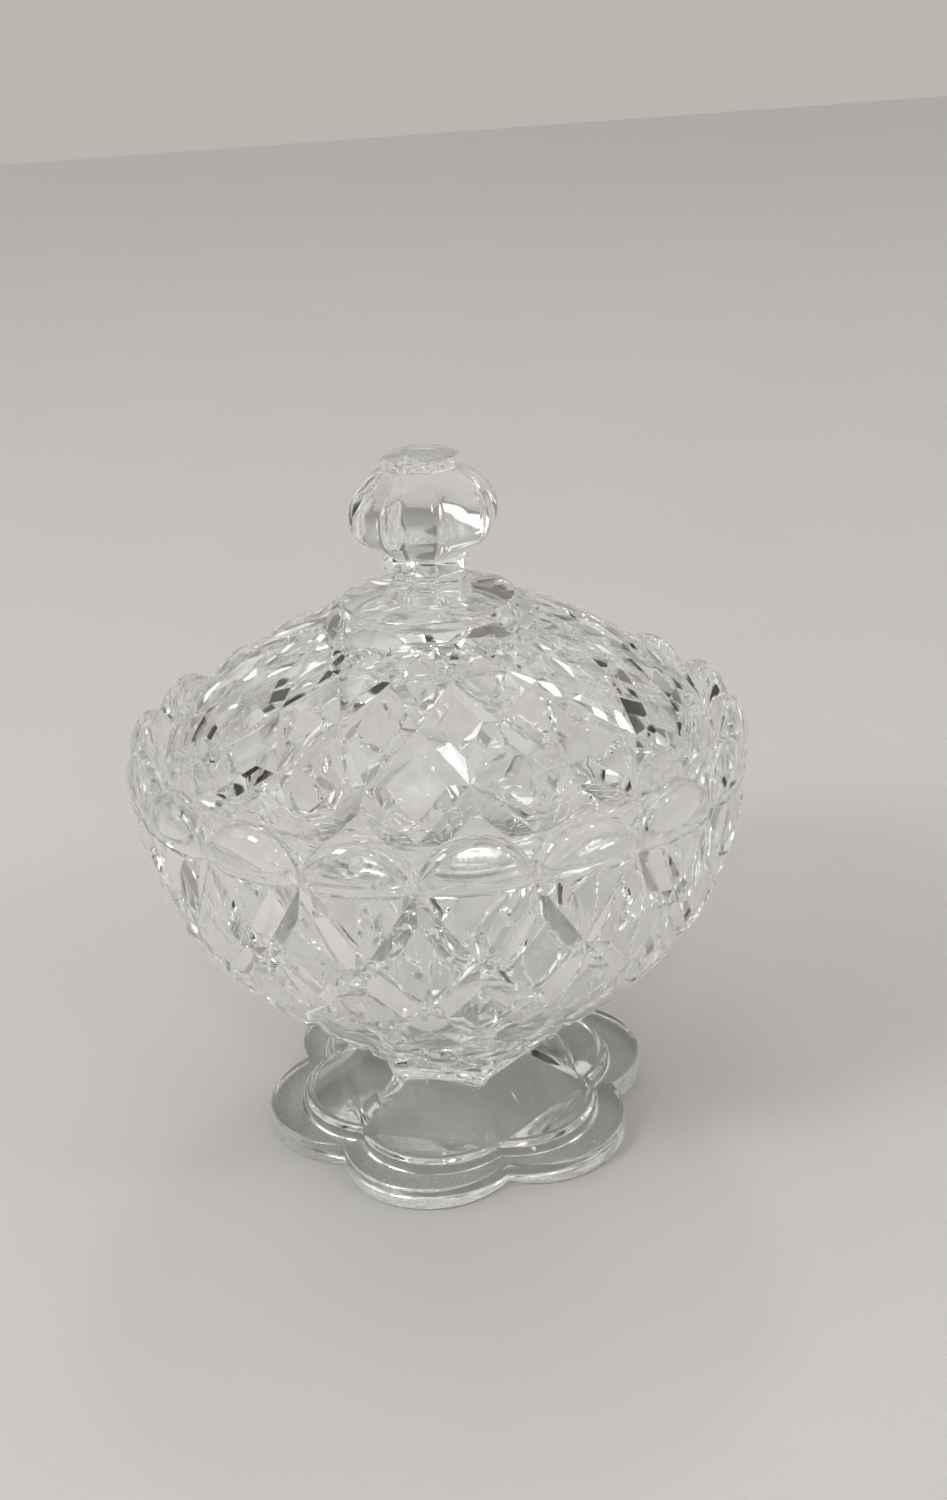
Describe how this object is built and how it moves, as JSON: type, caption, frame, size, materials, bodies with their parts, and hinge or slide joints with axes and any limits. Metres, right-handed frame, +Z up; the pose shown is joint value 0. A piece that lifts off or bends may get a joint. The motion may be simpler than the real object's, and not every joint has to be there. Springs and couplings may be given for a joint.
{
  "type": "footed glass trinket box with lid",
  "caption": "Clear pressed-glass trinket box: diamond-cut bowl with a petal rim on a lobed foot, and a loose domed lid with a facetted knob.",
  "frame": {"origin": "on the table under the middle of the foot", "axes": "+Z up through the knob; two lobes of the foot lie along X, a notch between two lobes faces -Y"},
  "size_m": [0.1298, 0.1298, 0.15],
  "materials": {
    "bowl_glass": "polished clear glass",
    "foot_glass": "polished clear glass",
    "lid_glass": "polished clear glass",
    "knob_glass": "polished clear glass"
  },
  "bodies": {
    "bowl": {"bowl": "bowl_glass", "foot": "foot_glass"},
    "lid": {"lid": "lid_glass", "knob": "knob_glass"}
  },
  "joints": [
    {"name": "lid_lift", "type": "slide", "parent": "bowl", "child": "lid", "axis": [0, 0, 1], "range_m": [0, 0.1]}
  ]
}
